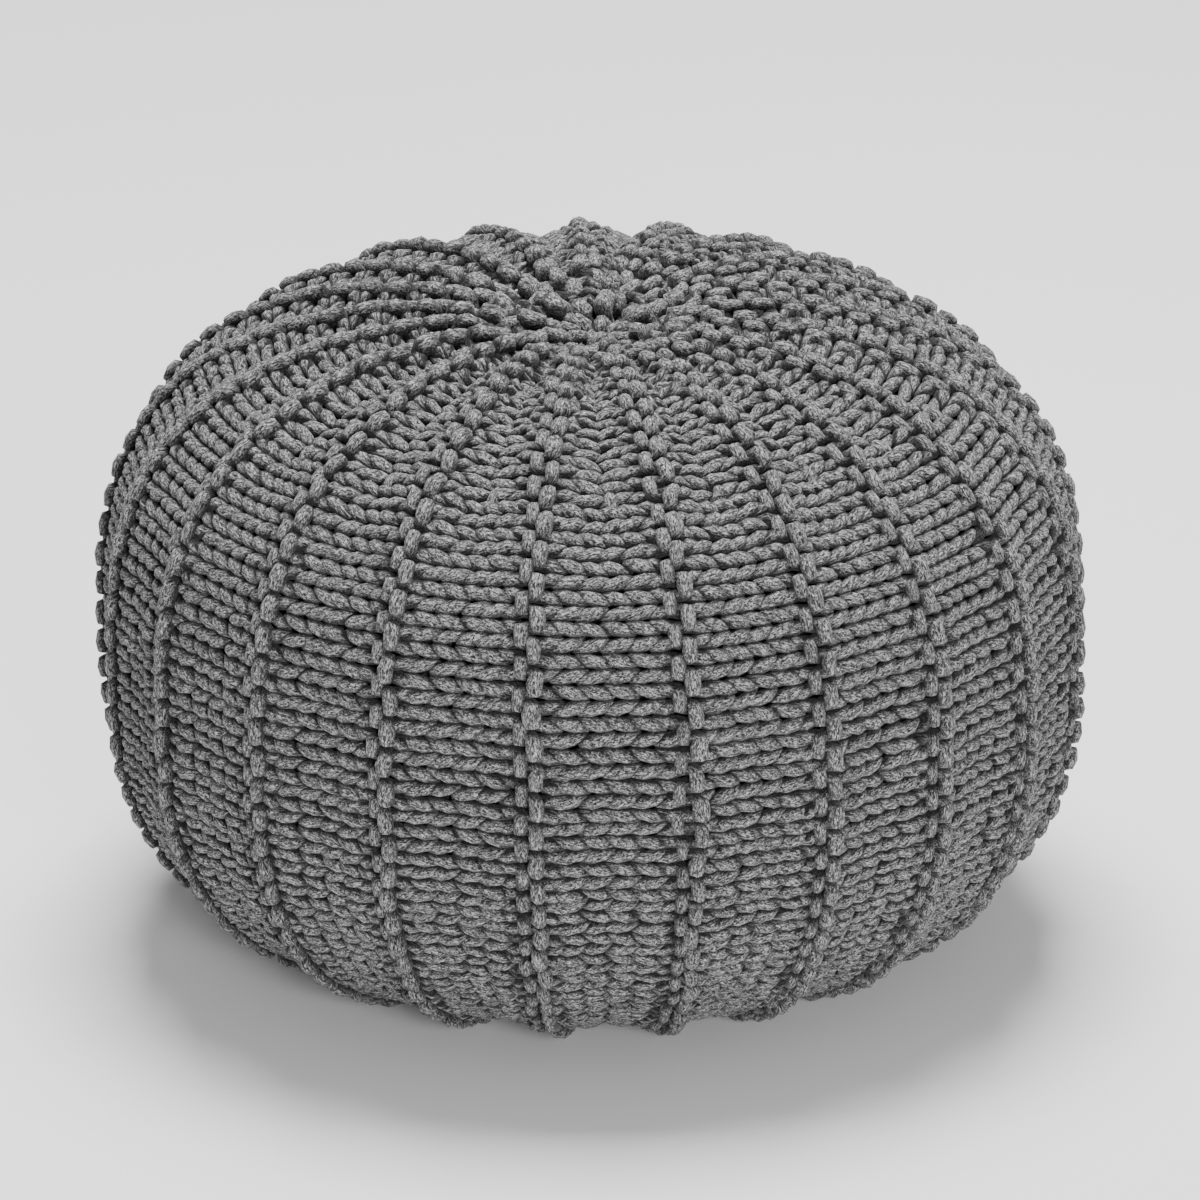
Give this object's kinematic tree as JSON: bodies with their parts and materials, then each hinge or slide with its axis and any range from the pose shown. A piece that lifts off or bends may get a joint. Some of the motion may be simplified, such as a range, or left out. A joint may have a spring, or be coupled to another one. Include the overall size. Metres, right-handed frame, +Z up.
{
  "type": "knitted pouf",
  "caption": "Round filled floor pouf in chunky ribbed knit, its raised ribs gathered at the middle of the crown, sitting on a flat foot.",
  "frame": {"origin": "middle of the flat round foot, on the floor", "axes": "+Z up through the gathered middle of the crown; -Y is the side towards the camera; the knit's courses run from crown to foot"},
  "size_m": [0.4986, 0.498, 0.3364],
  "materials": {
    "knit_yarn": "matt heathered grey chunky yarn, knitted"
  },
  "bodies": {
    "root": {"knitted_pouf": "knit_yarn"}
  },
  "joints": []
}
